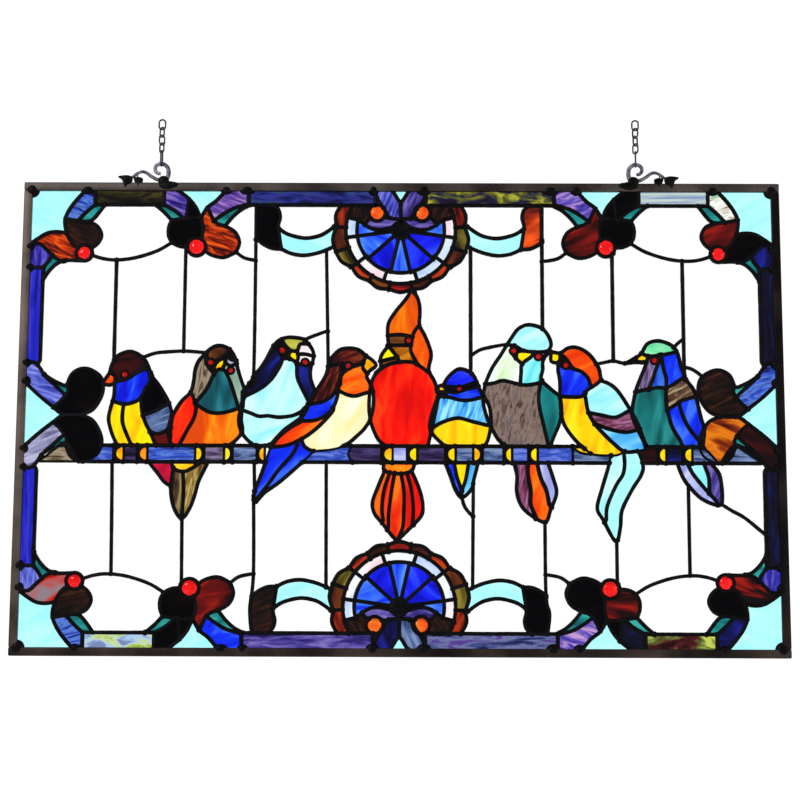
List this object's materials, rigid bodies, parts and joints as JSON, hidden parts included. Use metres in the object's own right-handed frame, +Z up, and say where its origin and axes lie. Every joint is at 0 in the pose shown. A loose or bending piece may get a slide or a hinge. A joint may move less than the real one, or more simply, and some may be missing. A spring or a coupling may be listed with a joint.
{
  "type": "stained glass panel",
  "caption": "Rectangular stained glass window panel with songbirds perched on a branch, scrolled corners and two half-round medallions, in a slim metal frame hung from two short chains",
  "frame": {"origin": "midway between the two top chain links, where their inner tops bear on whatever they hang from; the panel hangs below it", "axes": "+Z up, +X to the right seen from the front, the front of the panel faces -Y"},
  "size_m": [0.813, 0.0093, 0.5797],
  "materials": {
    "frame_metal": "dull brown-bronze patina on zinc channel",
    "solder": "black-patinated solder, softly shiny",
    "hook_metal": "grey pewter-like cast metal",
    "chain_wire": "darkened brass wire",
    "clear_glass": "clear glass, lightly rippled",
    "bird_glass": "streaky art glass in many colours",
    "tail_glass": "streaky art glass, oranges, browns and blues",
    "branch_glass": "streaky art glass, blue and lavender",
    "border_glass": "streaky art glass, blue, violet, near-black and aqua",
    "medallion_glass": "cobalt blue, white and brown art glass"
  },
  "bodies": {
    "root": {"frame_top": "frame_metal", "frame_right": "frame_metal", "frame_bottom": "frame_metal", "frame_left": "frame_metal", "solder_lines": "solder", "bird_maroon_head": "bird_glass", "bird_teal_bib": "bird_glass", "bird_pale_blue": "bird_glass", "bird_cream_belly": "bird_glass", "bird_red_breast": "bird_glass", "bird_blue_cap": "bird_glass", "bird_brown_back": "bird_glass", "bird_yellow_belly": "bird_glass", "bird_green_cap": "bird_glass", "tail_crimson": "tail_glass", "tail_brown": "tail_glass", "tail_orange_fan": "tail_glass", "tail_blue_yellow": "tail_glass", "tail_orange_mauve": "tail_glass", "tail_lavender": "tail_glass", "branch_left": "branch_glass", "branch_middle": "branch_glass", "branch_right": "branch_glass", "border_left": "border_glass", "border_right": "border_glass", "medallion_top": "medallion_glass", "medallion_bottom": "medallion_glass", "clear_pane_upper_1": "clear_glass", "clear_pane_upper_2": "clear_glass", "clear_pane_upper_3": "clear_glass", "clear_pane_upper_4": "clear_glass", "clear_pane_upper_5": "clear_glass", "clear_pane_upper_6": "clear_glass", "clear_pane_upper_7": "clear_glass", "clear_pane_upper_8": "clear_glass", "clear_pane_upper_9": "clear_glass", "clear_pane_upper_10": "clear_glass", "clear_pane_lower_1": "clear_glass", "clear_pane_lower_2": "clear_glass", "clear_pane_lower_3": "clear_glass", "clear_pane_lower_4": "clear_glass", "clear_pane_lower_5": "clear_glass", "clear_pane_lower_6": "clear_glass", "clear_pane_lower_7": "clear_glass", "clear_pane_lower_8": "clear_glass", "clear_pane_lower_9": "clear_glass", "clear_pane_lower_10": "clear_glass", "clear_pane_lower_11": "clear_glass", "hook_left": "hook_metal", "hook_right": "hook_metal", "link_left_1": "chain_wire", "link_left_2": "chain_wire", "link_left_3": "chain_wire", "link_left_4": "chain_wire", "link_left_long": "chain_wire", "link_right_1": "chain_wire", "link_right_2": "chain_wire", "link_right_3": "chain_wire", "link_right_4": "chain_wire", "link_right_long": "chain_wire"}
  },
  "joints": []
}
